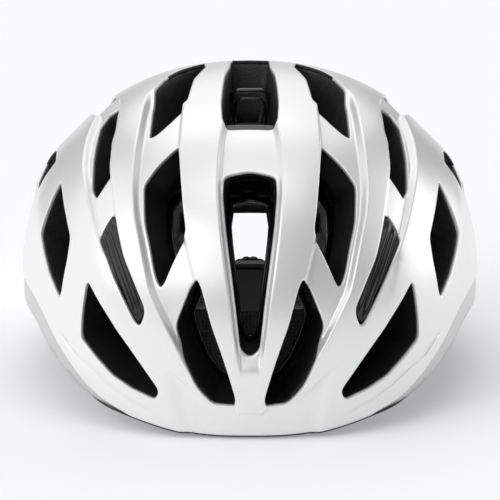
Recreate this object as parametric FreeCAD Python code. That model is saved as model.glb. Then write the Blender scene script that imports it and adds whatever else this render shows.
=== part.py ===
"""Road cycling helmet: moulded shells over a vented foam liner, slip liner, pads, dial fit system, straps.

Millimetres. +Z is up, the brow faces -Y and +X is the wearer's left. The origin is under the middle of
the helmet, on the surface that the rim stands on.
"""
import FreeCAD, Part
import math
import os

from FreeCAD import Vector

# ---------------------------------------------------------------- driving dimensions
POWER = 2.25                     # every dome section is a superellipse of this power
CENTRE = Vector(0, -2.5, 42.0)   # all radial cuts and chart directions start here

# half-axes of the outer dome (over the ribs) and of the hollow for the head
OUTER = {"side": 104.5, "front": 134.0, "rear": 139.0, "top": 98.0,
         "low_side": 68.0, "low_front": 98.0, "low_rear": 74.0}
HOLLOW = {"side": 79.0, "front": 102.0, "rear": 103.0, "top": 69.0,
          "low_side": 150.0, "low_front": 150.0, "low_rear": 150.0}

SHELL = 1.2                      # thickness of the polycarbonate shells
SHELL_GAP = 0.05                 # shell to foam
LOWER_INSET = 0.9                # the lower shell sits this far inside the upper one
TRIM_DEEP, TRIM_TALL = 3.2, 2.4
SLIP_GAP, SLIP_WALL = 2.0, 1.0   # slip liner to foam, and its wall
DOT_WALL, DOT_R = 1.0, 5.0       # hook patches behind the pads
STUD_R = 4.0
PAD_WALL = 5.2
GAP = 0.05                       # face-to-face clearance inside one body
RIM_STEP = 0.5                   # shells stop this far above the foam's edge
SLIP_LIFT = 6.0                  # slip liner stops this far above the rim

# height of the rim, and of the line between upper and lower shell, by bearing from the brow
RIM = [(0, 0), (12, 0.8), (25, 6.0), (37, 11.5), (51, 25), (62, 34), (90, 37), (118, 25), (148, 4), (165, 1),
       (180, 3)]
SPLIT = [(0, -8), (15, -3), (25, 7), (34, 15), (44.6, 31), (54, 43), (68, 49), (90, 50), (120, 48),
         (150, 46), (180, 47)]

# vents, as outlines in chart degrees: u across, v back from the crown; side vents on the -X half
CENTRE_VENTS = {
    "crown": [(-6, -39), (6, -39), (7, -36), (7, -28), (6.5, -15.5), (5.8, 0.5), (5.4, 24), (-5.4, 24),
              (-5.8, 0.5), (-6.5, -15.5), (-7, -28), (-7, -36)],
    "brow": [(-6.5, -54), (0, -52.8), (6.5, -54), (6.8, -58.5), (6.2, -66), (5.2, -73.5), (4.2, -80.5),
             (3, -90), (0, -91.5), (-3, -90), (-4.2, -80.5), (-5.2, -73.5), (-6.2, -66), (-6.8, -58.5)],
    "crown_rear": [(-4.5, 30), (4.5, 30), (6, 36), (5.5, 47), (3.5, 51), (-3.5, 51), (-5.5, 47), (-6, 36)],
    "nape": [(-7, 86), (7, 86), (9.5, 94), (9, 101.5), (-9, 101.5), (-9.5, 94)],
}
SIDE_VENTS = {
    "top_front": [(-12.3, 20.5), (-12, 9.5), (-15, -6), (-16, -23.5), (-21, -31.5), (-24, -35),
                  (-26.2, -35.5), (-26.3, -27.5), (-26.5, -18.5), (-25.8, -6.5), (-23, 5), (-19.5, 12.5)],
    "top_mid": [(-17.5, -42), (-20, -44), (-23.5, -47), (-27, -51), (-27, -60.5), (-26, -66.5), (-25.5, -72),
                (-24.5, -75), (-23, -74.5), (-19.5, -70.5), (-15.5, -66), (-16, -61), (-17, -47.5)],
    "brow_side": [(-13.5, -75), (-15.5, -76), (-18, -79), (-21.5, -83), (-20, -89.5), (-17, -95.5),
                  (-12.5, -100), (-5.5, -101), (-4.5, -99.5), (-7, -93), (-10.5, -84.5), (-12.5, -77)],
    "mid_front": [(-35.5, -2), (-35, -26.5), (-36, -34.5), (-35.5, -42.5), (-41, -47), (-42.5, -43),
                  (-43, -30), (-42.8, -10), (-40.5, -2)],
    "side_front": [(-53, -28), (-51.5, -39.5), (-49.5, -51.5), (-52, -55.5), (-57.5, -60), (-59.5, -60),
                   (-62.5, -50.5), (-63.5, -43), (-63.5, -36.5), (-58, -33)],
    "side_low": [(-45.5, -64.5), (-43, -70.5), (-39, -78.5), (-33.5, -87.5), (-29.5, -94), (-32, -95.5),
                 (-39.5, -91), (-45.5, -86), (-50, -80), (-54, -73.5), (-52, -71)],
    "top_rear": [(-15, 31), (-19.5, 31), (-27, 40), (-29, 50), (-24, 57), (-18.5, 42)],
    "nape_side": [(-21, 73), (-26.5, 62), (-31, 58), (-35, 59), (-35, 67), (-29, 78),
                  (-27.5, 81), (-21, 81.5)],
    "mid_rear": [(-37, 6), (-43.5, 2), (-46, 20), (-46, 36), (-40, 44), (-38, 26)],
    "side_rear": [(-56, -12), (-64, -16), (-66, 2), (-62, 16), (-57, 6)],
    "low_rear": [(-54, 30), (-62, 27), (-62, 42), (-54, 56), (-47, 60), (-49, 46)],
}
INSERT = [(-35, -54.5), (-33.5, -60), (-32.5, -66), (-30.5, -72), (-28.5, -78), (-31, -80.5), (-32.5, -79.5),
          (-34.5, -74.5), (-37, -68), (-39, -61), (-40, -58), (-37, -55.5)]
INSERT_WALL = 2.6
INSERT_POCKET = 4.0

# fit system: the ring of arms and cradle turns on two temple pins; its racks bend round a vertical axis
PIN_Y, PIN_Z = -33.0, 52.0
PIN_R, PIN_FIT = 2.5, 0.05
ARM_X = 69.0                     # middle of the arm's eye
ARM_WALL, ARM_TALL = 2.0, 12.0
RACK_AXIS_Y, RACK_R = 12.0, 72.0
RACK_WALL = 2.0
DIAL_Z = 14.0
MODULE = 1.0
PINION_TEETH = 10
PRESSURE_ANGLE = 25.0
ADDENDUM, DEDENDUM = 0.8, 1.1
BACKLASH = 0.3
HOUSING_HALF = 27.0              # degrees either side of the dial
HANGER_R = 119.0                 # hanger legs curve about the temple pins
HANGER_X = (17.0, 23.0)
KNOB_R = 13.0

# straps
WEB_WIDE, WEB_THICK = 15.0, 1.6
DIVIDER = Vector(58, -6, 3.4)    # middle of the +X strap divider
CHIN_WAY = Vector(-1, 0, 0)      # the ways that the three straps leave it
FRONT_WAY = Vector(0.431, -0.902, 0)
REAR_WAY = Vector(0.610, 0.793, 0)
STRAP_END = 12.2                 # webbing stops this far from the divider's middle
LEVER_HINGE = Vector(6.5, 0, 5.2)
BUCKLE_Y = -6.0
BUCKLE_Z = 5.3
PRONG_HINGE = Vector(3, BUCKLE_Y, BUCKLE_Z)
PRONG_R = 2.0
TAIL_Z = BUCKLE_Z + 4.5 + WEB_THICK / 2 + GAP


# ---------------------------------------------------------------- dome geometry
def smooth(knots, bearing):
    """A smooth height at a bearing, through (bearing, height) knots, mirrored left and right."""
    b = abs((bearing + 180.0) % 360.0 - 180.0)
    k = max(i for i in range(len(knots) - 1) if knots[i][0] <= b)
    before = knots[k - 1] if k else (-knots[1][0], knots[1][1])
    after = knots[k + 2] if k + 2 < len(knots) else (360 - knots[-2][0], knots[-2][1])
    (b0, h0), (b1, h1) = knots[k], knots[k + 1]
    span = b1 - b0
    slope0 = (h1 - before[1]) / (b1 - before[0]) * span
    slope1 = (after[1] - h0) / (after[0] - b0) * span
    t = (b - b0) / span
    return (h0 * (2 * t ** 3 - 3 * t ** 2 + 1) + slope0 * (t ** 3 - 2 * t ** 2 + t)
            + h1 * (3 * t ** 2 - 2 * t ** 3) + slope1 * (t ** 3 - t ** 2))


def plan_radius(dome, inset, bearing, z):
    """Distance of the dome from the centre's vertical axis, at a bearing and a height."""
    across = abs(math.sin(math.radians(bearing)))
    along = abs(math.cos(math.radians(bearing)))
    end = "front" if math.cos(math.radians(bearing)) > 0 else "rear"
    if z >= CENTRE.z:
        tall = dome["top"] - inset
    else:
        tall = dome["low_side"] * across ** 2 + dome["low_" + end] * along ** 2 - inset
    level = 1 - (abs(z - CENTRE.z) / tall) ** POWER
    spread = (across / (dome["side"] - inset)) ** POWER + (along / (dome[end] - inset)) ** POWER
    return (max(level, 0) / spread) ** (1 / POWER)


def plan_point(radius, bearing, z):
    b = math.radians(bearing)
    return Vector(CENTRE.x + radius * math.sin(b), CENTRE.y - radius * math.cos(b), z)


def closed_curve(points):
    curve = Part.BSplineCurve()
    curve.interpolate(points, PeriodicFlag=True)
    return curve.toShape()


def dome_solid(dome, inset, foot=-6.0):
    """The solid inside a dome: a loft through level rings from below the rim up to the crown."""
    heights = [foot, 6, 18, 30, CENTRE.z]
    top = dome["top"] - inset
    for k in range(1, 12):
        share = math.cos(math.radians(7.9 * k))
        heights.append(CENTRE.z + top * (1 - share ** POWER) ** (1 / POWER))
    rings = []
    for z in heights:
        points = [plan_point(plan_radius(dome, inset, b, z), b, z) for b in range(0, 360, 9)]
        rings.append(Part.Wire([closed_curve(points)]))
    return Part.makeLoft(rings, True, False)


def skin(dome, outer_inset, inner_inset):
    """A closed layer of the dome between two insets."""
    return dome_solid(dome, outer_inset).cut(dome_solid(dome, inner_inset, -9.0))


def below(knots, lift):
    """Everything within the helmet's plan that lies below a height line."""
    rings = []
    for radius in (20.0, 200.0):
        points = [plan_point(radius, b, smooth(knots, b) + lift) for b in range(0, 360, 4)]
        rings.append(closed_curve(points))
    return Part.makeRuledSurface(rings[0], rings[1]).extrude(Vector(0, 0, -120))


def direction(u, v):
    """Unit vector of a chart position: degrees across and back from the crown."""
    tilt = math.radians(math.hypot(u, v))
    k = math.sin(tilt) / math.hypot(u, v) if tilt else 0
    return Vector(u * k, v * k, math.cos(tilt))


def mirrored(outline):
    return [(-u, v) for u, v in reversed(outline)]


def wedge(outline, near=50.0, far=165.0):
    """Pyramid frustum through a chart outline, its apex at the centre."""
    rays = [direction(u, v) for u, v in outline]
    middle = Vector(0, 0, 0)
    for ray in rays:
        middle += ray
    middle.normalize()
    wires = []
    for distance in (near, far):
        points = [CENTRE + ray * (distance / ray.dot(middle)) for ray in rays]
        wires.append(Part.makePolygon(points + points[:1]))
    return Part.makeLoft(wires, True, True)


def peg(u, v, radius):
    """Round radial bar along a chart direction, from inside the hollow to outside the dome."""
    ray = direction(u, v)
    return Part.makeCylinder(radius, 90, CENTRE + ray * 55, ray)


def sector(bearing0, bearing1, z0, z1):
    """Upright wedge of the plan between two bearings and two heights."""
    corners = [Vector(CENTRE.x, CENTRE.y, z0)]
    steps = max(2, int(abs(bearing1 - bearing0) / 20) + 1)
    for i in range(steps + 1):
        corners.append(plan_point(260, bearing0 + (bearing1 - bearing0) * i / steps, z0))
    return Part.Face(Part.makePolygon(corners + corners[:1])).extrude(Vector(0, 0, z1 - z0))


def box(x0, x1, y0, y1, z0, z1):
    return Part.makeBox(x1 - x0, y1 - y0, z1 - z0, Vector(x0, y0, z0))


def rod(radius, start, end):
    axis = end - start
    return Part.makeCylinder(radius, axis.Length, start, axis)


def flip(shape):
    """The piece on the other side of the helmet."""
    return shape.mirror(Vector(0, 0, 0), Vector(1, 0, 0))


def all_vent_outlines():
    outlines = list(CENTRE_VENTS.values()) + list(SIDE_VENTS.values())
    return outlines + [mirrored(outline) for outline in SIDE_VENTS.values()]


# ---------------------------------------------------------------- shells and foam
def vent_cutter():
    cutters = [wedge(outline) for outline in all_vent_outlines()]
    return cutters[0].multiFuse(cutters[1:])


def top_shell(vents, under_rim):
    shell = skin(OUTER, 0, SHELL).cut(below(SPLIT, 0.2)).cut(under_rim)
    return shell.cut([vents, wedge(INSERT), wedge(mirrored(INSERT))])


def lower_shell(vents, under_rim):
    shell = skin(OUTER, LOWER_INSET, LOWER_INSET + SHELL).common(below(SPLIT, -0.2))
    return shell.cut(under_rim).cut(vents)


def rim_trim():
    """Edge strip round the bottom outer corner of the foam."""
    band = skin(OUTER, LOWER_INSET + SHELL + GAP, LOWER_INSET + SHELL + TRIM_DEEP)
    return band.cut(below(RIM, RIM_STEP)).common(below(RIM, RIM_STEP + TRIM_TALL))


def vent_insert():
    """Fluted panel that fills the second side opening."""
    inner = [(u + 0.12 * (-34.5 - u) / 6, v + 0.12 * (-67.5 - v) / 13) for u, v in INSERT]
    return skin(OUTER, SHELL * 0.5, SHELL * 0.5 + INSERT_WALL).common(wedge(inner))


def strap_anchor(bearing):
    """Plastic bar moulded into the foam's edge, that the webbing goes round."""
    z = smooth(RIM, bearing)
    outer = plan_radius(OUTER, SHELL, bearing, z)
    inner = plan_radius(HOLLOW, 0, bearing, z)
    at = plan_point((outer + inner) / 2, bearing, z)
    bar = box(-10, 10, -2.5, 2.5, 0, 7)
    bar.rotate(Vector(0, 0, 0), Vector(0, 0, 1), bearing)
    bar.translate(at)
    return bar.cut(below(RIM, 0.0)), at


def slip_studs():
    """Elastomer studs that hold the slip liner to the foam and let it float."""
    layer = skin(HOLLOW, -5.0, SLIP_GAP - 0.1)
    places = [(-11, -68), (11, -68), (-48, 18), (48, 18), (-12, 68), (12, 68)]
    return Part.makeCompound([layer.common(peg(u, v, STUD_R)) for u, v in places])


def foam_liner(vents, fillings):
    body = dome_solid(OUTER, SHELL + SHELL_GAP).cut(dome_solid(HOLLOW, 0, -9.0)).cut(below(RIM, 0))
    recess = skin(OUTER, 0, LOWER_INSET + SHELL + GAP).common(below(SPLIT, 0.0))
    pocket = wedge(INSERT).cut(dome_solid(OUTER, INSERT_POCKET))
    return body.cut(recess).cut(fillings).cut([pocket, flip(pocket)]).cut(vents)


# ---------------------------------------------------------------- slip liner and pads
def slip_liner(vents):
    inner = SLIP_GAP + SLIP_WALL
    body = skin(HOLLOW, SLIP_GAP, inner).cut(below(RIM, SLIP_LIFT)).cut(vents)
    boss = rod(6.0, Vector(ARM_X + 1.3, PIN_Y, PIN_Z), Vector(ARM_X + 7, PIN_Y, PIN_Z))
    boss = boss.common(dome_solid(HOLLOW, SLIP_GAP + 0.5))
    bore = rod(PIN_R, Vector(ARM_X - 5, PIN_Y, PIN_Z), Vector(ARM_X + 12, PIN_Y, PIN_Z))
    return body.fuse([boss, flip(boss)]).cut([bore, flip(bore)])


def pad_layer():
    start = SLIP_GAP + SLIP_WALL + DOT_WALL + 2 * GAP
    return skin(HOLLOW, start, start + PAD_WALL)


def hook_dots():
    start = SLIP_GAP + SLIP_WALL + GAP
    layer = skin(HOLLOW, start, start + DOT_WALL)
    places = [(-9, -98), (9, -98), (-64, -55.5), (64, -55.5), (-11, -25), (11, -25),
              (-11, 14), (11, 14), (0, -46.5)]
    return Part.makeCompound([layer.common(peg(u, v, DOT_R)) for u, v in places])


def pads(layer):
    """Fabric pads on the slip liner: brow, temples, two along the top and one behind the brow vent."""
    brow = layer.common(sector(-37, 37, 17, 48))
    temple = layer.common(sector(-59, -39, 41, 60))
    top = layer.common(wedge([(-9, -34), (-14, -34), (-14, 19), (-9, 19)], 30, 120))
    crown = layer.common(wedge([(-15, -49.5), (15, -49.5), (15, -43), (-15, -43)], 30, 120))
    return {"brow_pad": brow, "crown_pad": crown, "temple_pad_right": temple,
            "temple_pad_left": flip(temple),
            "top_pad_right": top, "top_pad_left": flip(top)}


# ---------------------------------------------------------------- dial fit system
def arc_block(r0, r1, a0, a1, z0, z1):
    """Block bent round the racks' axis; angles run from the dial towards +X."""
    profile = Part.makePolygon([Vector(0, RACK_AXIS_Y + r, z) for r, z in
                                [(r0, z0), (r1, z0), (r1, z1), (r0, z1), (r0, z0)]])
    face = Part.Face(profile)
    face.rotate(Vector(0, RACK_AXIS_Y, 0), Vector(0, 0, 1), -a0)
    return face.revolve(Vector(0, RACK_AXIS_Y, 0), Vector(0, 0, -1), a1 - a0)


def involute(radius, base_r):
    """Angle that an involute has turned through at a radius; none inside its base circle."""
    if radius <= base_r:
        return 0.0
    roll = math.acos(base_r / radius)
    return math.tan(roll) - roll


def pinion_outline():
    """Involute gear section in the XZ plane about the dial's axis, a tooth pointing up."""
    pitch_r = MODULE * PINION_TEETH / 2
    base_r = pitch_r * math.cos(math.radians(PRESSURE_ANGLE))
    half = (math.pi * MODULE / 2 - BACKLASH / 2) / 2 / pitch_r
    flank = [pitch_r - DEDENDUM]
    flank += [base_r + (pitch_r + ADDENDUM - base_r) * i / 4 for i in range(5)]
    points = []
    for tooth in range(PINION_TEETH):
        middle = 2 * math.pi * tooth / PINION_TEETH
        turns = [half + involute(pitch_r, base_r) - involute(r, base_r) for r in flank]
        side = [(middle - turn, r) for turn, r in zip(turns, flank)]
        side += [(middle + turn, r) for turn, r in reversed(list(zip(turns, flank)))]
        points += [Vector(r * math.sin(a), 0, DIAL_Z + r * math.cos(a)) for a, r in side]
    return points


def pinion(y0, y1):
    points = pinion_outline()
    body = Part.Face(Part.makePolygon(points + points[:1])).extrude(Vector(0, y1 - y0, 0))
    body.translate(Vector(0, y0, 0))
    return body.cut(rod(2.2, Vector(0, y0 - 1, DIAL_Z), Vector(0, y1 + 1, DIAL_Z)))


def rack():
    """The upper rack, for the -X side: teeth down on the pinion, then a step down to the arm's sleeve."""
    r0, r1 = RACK_R - RACK_WALL / 2, RACK_R + RACK_WALL / 2
    pitch_z = DIAL_Z + MODULE * PINION_TEETH / 2
    root_z = pitch_z + DEDENDUM
    body = arc_block(r0, r1, -24.5, 9.5, root_z, DIAL_Z + 10.3)
    body = body.fuse([arc_block(r0, r1, -27.0, -23.5, DIAL_Z - 4, DIAL_Z + 10.3),
                      arc_block(r0, r1, -50.0, -23.5, DIAL_Z - 4, DIAL_Z + 4)])
    slope = math.tan(math.radians(PRESSURE_ANGLE))
    half = (math.pi * MODULE / 2 - BACKLASH / 2) / 2
    step = math.pi * MODULE
    teeth = []
    for k in range(-5, 3):
        tip, root = half - ADDENDUM * slope, half + DEDENDUM * slope
        x = (k + 0.5) * step
        points = [Vector(x - root, 0, root_z + 0.2), Vector(x - tip, 0, pitch_z - ADDENDUM),
                  Vector(x + tip, 0, pitch_z - ADDENDUM), Vector(x + root, 0, root_z + 0.2)]
        tooth = Part.Face(Part.makePolygon(points + points[:1])).extrude(Vector(0, RACK_WALL, 0))
        tooth.translate(Vector(-x, RACK_AXIS_Y + r0, 0))
        tooth.rotate(Vector(0, RACK_AXIS_Y, 0), Vector(0, 0, 1), -math.degrees(x / RACK_R))
        teeth.append(tooth)
    return body.fuse(teeth)


def lower_rack(upper):
    """The same rack turned half a turn about the dial's axis."""
    turned = upper.copy()
    turned.rotate(Vector(0, 0, DIAL_Z), Vector(0, 1, 0), 180)
    return turned


def dial_housing():
    z0, z1 = DIAL_Z - 12.5, DIAL_Z + 12.5
    body = arc_block(RACK_R - 3.5, RACK_R + 2, -HOUSING_HALF, HOUSING_HALF, z0, z1)
    room = arc_block(RACK_R - 2, RACK_R + 2.1, -HOUSING_HALF + 1.5, HOUSING_HALF - 1.5, z0 + 1.5, z1 - 1.5)
    slot = arc_block(RACK_R - 1.5, RACK_R + 1.5, -HOUSING_HALF - 1, HOUSING_HALF + 1,
                     DIAL_Z - 10.8, DIAL_Z + 10.8)
    return body.cut([room, slot])


def dial_cover():
    """Rear cover of the dial housing, with a flat round seat for the knob."""
    z0, z1 = DIAL_Z - 12.5, DIAL_Z + 12.5
    body = arc_block(RACK_R + 2, RACK_R + 3.4, -HOUSING_HALF, HOUSING_HALF, z0, z1)
    face_y = RACK_AXIS_Y + RACK_R
    seat = rod(11.0, Vector(0, face_y + 2.1, DIAL_Z), Vector(0, face_y + 4.0, DIAL_Z))
    hole = rod(6.05, Vector(0, face_y, DIAL_Z), Vector(0, face_y + 6, DIAL_Z))
    return body.fuse(seat).cut(hole)


def detent_ring():
    """Spring ring whose two fingers click in the knob."""
    y = RACK_AXIS_Y + RACK_R + 4.0
    ring = rod(9.0, Vector(0, y, DIAL_Z), Vector(0, y + 1.4, DIAL_Z))
    ring = ring.cut(rod(7.2, Vector(0, y - 1, DIAL_Z), Vector(0, y + 3, DIAL_Z)))
    fingers = box(-10.6, -8.2, y, y + 1.4, DIAL_Z - 1.2, DIAL_Z + 1.2)
    return ring.fuse([fingers, flip(fingers)])


def dial_knob():
    y = RACK_AXIS_Y + RACK_R
    top = y + 10.2
    body = rod(KNOB_R, Vector(0, y + 4.3, DIAL_Z), Vector(0, top, DIAL_Z))
    body = body.cut(rod(KNOB_R - 1.6, Vector(0, y + 4, DIAL_Z), Vector(0, y + 7.4, DIAL_Z)))
    grips = []
    for k in range(18):
        a = math.radians(20 * k)
        at = Vector(math.sin(a) * (KNOB_R + 1.1), 0, math.cos(a) * (KNOB_R + 1.1) + DIAL_Z)
        grips.append(rod(1.6, at + Vector(0, y + 3, 0), at + Vector(0, top + 1, 0)))
    body = body.cut(grips)
    boss = rod(6.0, Vector(0, y + 2.6, DIAL_Z), Vector(0, y + 7.6, DIAL_Z))
    shaft = rod(2.2, Vector(0, y - 1.6, DIAL_Z), Vector(0, y + 7.6, DIAL_Z))
    screw_hole = rod(1.2, Vector(0, y - 3, DIAL_Z), Vector(0, top + 1, DIAL_Z))
    head_hole = rod(2.6, Vector(0, top - 1.8, DIAL_Z), Vector(0, top + 1, DIAL_Z))
    return body.fuse([boss, shaft]).cut([screw_hole, head_hole])


def dial_screw():
    y = RACK_AXIS_Y + RACK_R
    shank = rod(1.2, Vector(0, y - 1.4, DIAL_Z), Vector(0, y + 8.6, DIAL_Z))
    head = rod(2.4, Vector(0, y + 8.4, DIAL_Z), Vector(0, y + 9.8, DIAL_Z))
    slot = box(-2, 2, y + 9.2, y + 10, DIAL_Z - 0.4, DIAL_Z + 0.4)
    return shank.fuse(head).cut(slot)


def cradle_yoke():
    """Occipital support in front of the housing, with a window in each wing."""
    r1 = RACK_R - 3.5
    body = arc_block(r1 - 1.8, r1, -44, 44, DIAL_Z - 10, DIAL_Z + 10)
    window = arc_block(r1 - 3, r1 + 1, 30, 39, DIAL_Z - 5.5, DIAL_Z + 5.5)
    return body.cut([window, flip(window)])


def cradle_pad():
    r1 = RACK_R - 5.3 - GAP
    return arc_block(r1 - 4.5, r1, 9, 41, DIAL_Z - 9, DIAL_Z + 9)


def strip(points, tall, wall, flat=False):
    """Flat strip along a route: upright like an arm, or flat like webbing lying down."""
    sections = []
    for i, at in enumerate(points):
        ahead = points[min(i + 1, len(points) - 1)] - points[max(i - 1, 0)]
        side = Vector(-ahead.y, ahead.x, 0)
        side.normalize()
        if flat:
            wide, thick = side, ahead.cross(side)
        else:
            wide, thick = ahead.cross(side), side
        thick.normalize()
        wide.normalize()
        a, b = wide * (tall / 2), thick * (wall / 2)
        corners = [at - a - b, at + a - b, at + a + b, at - a + b]
        sections.append(Part.makePolygon(corners + corners[:1]))
    pieces = [Part.makeLoft(sections[i:i + 2], True, True) for i in range(len(sections) - 1)]
    return pieces[0].multiFuse(pieces[1:]).removeSplitter() if len(pieces) > 1 else pieces[0]


def arm():
    """Side arm, +X: eye on the temple pin, strap along the head, and a sleeve for the rack."""
    end = math.radians(58.3)
    joint = Vector(RACK_R * math.sin(end), RACK_AXIS_Y + RACK_R * math.cos(end), DIAL_Z)
    eye = Vector(ARM_X, PIN_Y, PIN_Z)
    route = [joint, Vector(67.2, 33, 22), Vector(69.8, 10, 34), Vector(69.0, -12, 44), eye]
    band = strip(route, ARM_TALL, ARM_WALL)
    half = Vector(ARM_WALL / 2, 0, 0)
    disc = rod(ARM_TALL / 2 + 1, eye - half * 1.1, eye + half * 1.1)
    sleeve = arc_block(RACK_R - 2.6, RACK_R + 2.6, 34, 59, DIAL_Z - 6.4, DIAL_Z + 6.4)
    slot = arc_block(RACK_R - 1.3, RACK_R + 1.3, 30, 57.5, DIAL_Z - 4.3, DIAL_Z + 4.3)
    bore = rod(PIN_R + PIN_FIT, eye - half * 9, eye + half * 9)
    return band.fuse([disc, sleeve]).cut([slot, bore])


def temple_pin():
    eye = Vector(ARM_X, PIN_Y, PIN_Z)
    head = rod(5.5, eye - Vector(2.4, 0, 0), eye - Vector(1.2, 0, 0))
    shaft = rod(PIN_R, eye - Vector(1.3, 0, 0), eye + Vector(3.8, 0, 0))
    return head.fuse(shaft)


def hanger_ring(r0, r1, x0, x1):
    """Ring about the temple pins' axis, between two places across."""
    start, end = Vector(x0, PIN_Y, PIN_Z), Vector(x1, PIN_Y, PIN_Z)
    return rod(r1, start, end).cut(rod(r0, start - Vector(1, 0, 0), end + Vector(1, 0, 0)))


def hanger():
    """Inverted U that hangs the cradle from its guides."""
    foot, top, bar = DIAL_Z + 12.5, PIN_Z + 15, PIN_Z + 10
    rear = box(-30, 30, 60, 100, foot, top)
    legs = hanger_ring(HANGER_R - 1, HANGER_R + 1, *HANGER_X)
    ring = hanger_ring(HANGER_R - 1, HANGER_R + 1, -HANGER_X[1], HANGER_X[1])
    bridge = ring.common(box(-30, 30, 60, 100, bar, top))
    return legs.fuse([flip(legs)]).common(rear).fuse(bridge)


def hanger_guides():
    """Two guides on the slip liner that the hanger's legs slide in."""
    x0, x1 = HANGER_X
    block = box(x0 - 1.8, x1 + 1.8, 82.6, 104, 37, 45)
    block = block.common(dome_solid(HOLLOW, SLIP_GAP + SLIP_WALL + GAP))
    slot = hanger_ring(HANGER_R - 1.35, HANGER_R + 1.35, x0 - 0.35, x1 + 0.35)
    guide = block.cut(slot)
    return Part.makeCompound([guide, flip(guide)])


# ---------------------------------------------------------------- straps
def side_straps(front_at, rear_at):
    """Front and rear webbing of the +X side, from the foam's edge down to the divider."""
    front = [front_at, Vector(77, -46, 14), Vector(70.5, -32, 4.6), DIVIDER + FRONT_WAY * 20,
             DIVIDER + FRONT_WAY * STRAP_END]
    rear = [rear_at, Vector(82, 26, 12), Vector(74, 14.5, 4.6), DIVIDER + REAR_WAY * 19,
            DIVIDER + REAR_WAY * STRAP_END]
    under_foam = below(RIM, -GAP)
    return [strip(route, WEB_WIDE, WEB_THICK, True).common(under_foam) for route in (front, rear)]


def divider():
    """Three-way strap divider with two lugs for its cam lever, +X side."""
    x, y, z = DIVIDER
    corners = []
    for way in (REAR_WAY, CHIN_WAY, FRONT_WAY):
        side = Vector(-way.y, way.x, 0) * 9
        corners += [DIVIDER + way * 12 - side, DIVIDER + way * 12 + side]
    plate = Part.Face(Part.makePolygon(corners + corners[:1])).extrude(Vector(0, 0, 4.8))
    plate.translate(Vector(0, 0, -2.4))
    rib = box(x - 6, x - 3, y - 6, y + 6, z + 2.3, z + 2.9)
    lug = box(x + 4.5, x + 8.5, y + 7.5, y + 9.3, z + 2.3, z + 7.4)
    other_lug = lug.mirror(DIVIDER, Vector(0, 1, 0))
    hinge = DIVIDER + LEVER_HINGE
    bore = rod(1.3, hinge - Vector(0, 12, 0), hinge + Vector(0, 12, 0))
    return plate.fuse([rib, lug, other_lug]).cut(bore)


def divider_lever():
    """Cam lever that clamps the webbing; it lifts about the lugs' pin."""
    hinge = DIVIDER + LEVER_HINGE
    pin = rod(1.25, hinge - Vector(0, 9.1, 0), hinge + Vector(0, 9.1, 0))
    barrel = rod(2.1, hinge - Vector(0, 7, 0), hinge + Vector(0, 7, 0))
    plate = box(hinge.x - 17, hinge.x, hinge.y - 7, hinge.y + 7, hinge.z - 1.4, hinge.z + 1.2)
    return plate.fuse([barrel, pin])


def buckle_female():
    y, z = BUCKLE_Y, BUCKLE_Z
    body = box(-16, 3, y - 13, y + 13, z - 4.5, z + 4.5)
    room = box(-13, 4, y - 10.8, y + 10.8, z - 2.3, z + 2.3)
    windows = box(-12, -3.5, y - 14, y + 14, z - 2.3, z + 2.3)
    return body.cut([room, windows])


def buckle_male():
    y, z = BUCKLE_Y, BUCKLE_Z
    base = box(3.2, 16, y - 12.5, y + 12.5, z - 4.5, z + 4.5)
    tongue = box(-8, 3.4, y - 2.5, y + 2.5, z - 2.0, z + 2.0)
    slot = box(11, 13.2, y - 8.5, y + 8.5, z - 5, z + 5)
    sockets = [rod(PRONG_R + 0.1, PRONG_HINGE + Vector(0, side * 8.5, -2.1),
                   PRONG_HINGE + Vector(0, side * 8.5, 2.1))
               for side in (-1, 1)]
    return base.fuse(tongue).cut([slot] + sockets)


def prong(side):
    """Sprung side button of the buckle: side is -1 for the brow side, 1 for the other."""
    y, z = BUCKLE_Y, BUCKLE_Z
    inner, outer = sorted([y + side * 6.5, y + side * 10.5])
    bar = box(-11, 3.0, inner, outer, z - 2.0, z + 2.0)
    tip = box(-11, -8, *sorted([y + side * 5.2, y + side * 6.6]), z - 2.0, z + 2.0)
    pivot = PRONG_HINGE + Vector(0, side * 8.5, 0)
    return bar.fuse([tip, rod(PRONG_R, pivot - Vector(0, 0, 2), pivot + Vector(0, 0, 2))])


def at_buckle(points):
    """Points of a route across the buckle's line, from (x, z) pairs."""
    return [Vector(x, BUCKLE_Y, z) for x, z in points]


def chin_strap_left():
    """The +X chin strap, with the slack that the buckle's half needs to draw out."""
    route = [(45.8, 3.4), (44, 3.4), (40, 7), (36.5, 8), (32, 4.6), (28, 2.9), (16.2, 2.9)]
    return strip(at_buckle(route), WEB_WIDE, WEB_THICK, True)


def chin_strap_right():
    return strip(at_buckle([(-45.8, 3.4), (-38, 3.2), (-16.2, 2.9)]), WEB_WIDE, WEB_THICK, True)


def chin_pad():
    """Padded sleeve that rests on the -X chin strap."""
    return strip(at_buckle([(-42, 6.9), (-20, 6.7)]), 19, 5.0, True)


def strap_tail():
    return strip(at_buckle([(5, TAIL_Z), (27, TAIL_Z)]), WEB_WIDE - 1, WEB_THICK, True)


def strap_keeper():
    """Ring round the loose end of the chin strap."""
    ring = box(18, 22, BUCKLE_Y - 9.4, BUCKLE_Y + 9.4, TAIL_Z - 1.8, TAIL_Z + 1.9)
    return ring.cut(box(17, 23, BUCKLE_Y - 7.4, BUCKLE_Y + 7.4, TAIL_Z - 1.0, TAIL_Z + 1.0))


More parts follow.
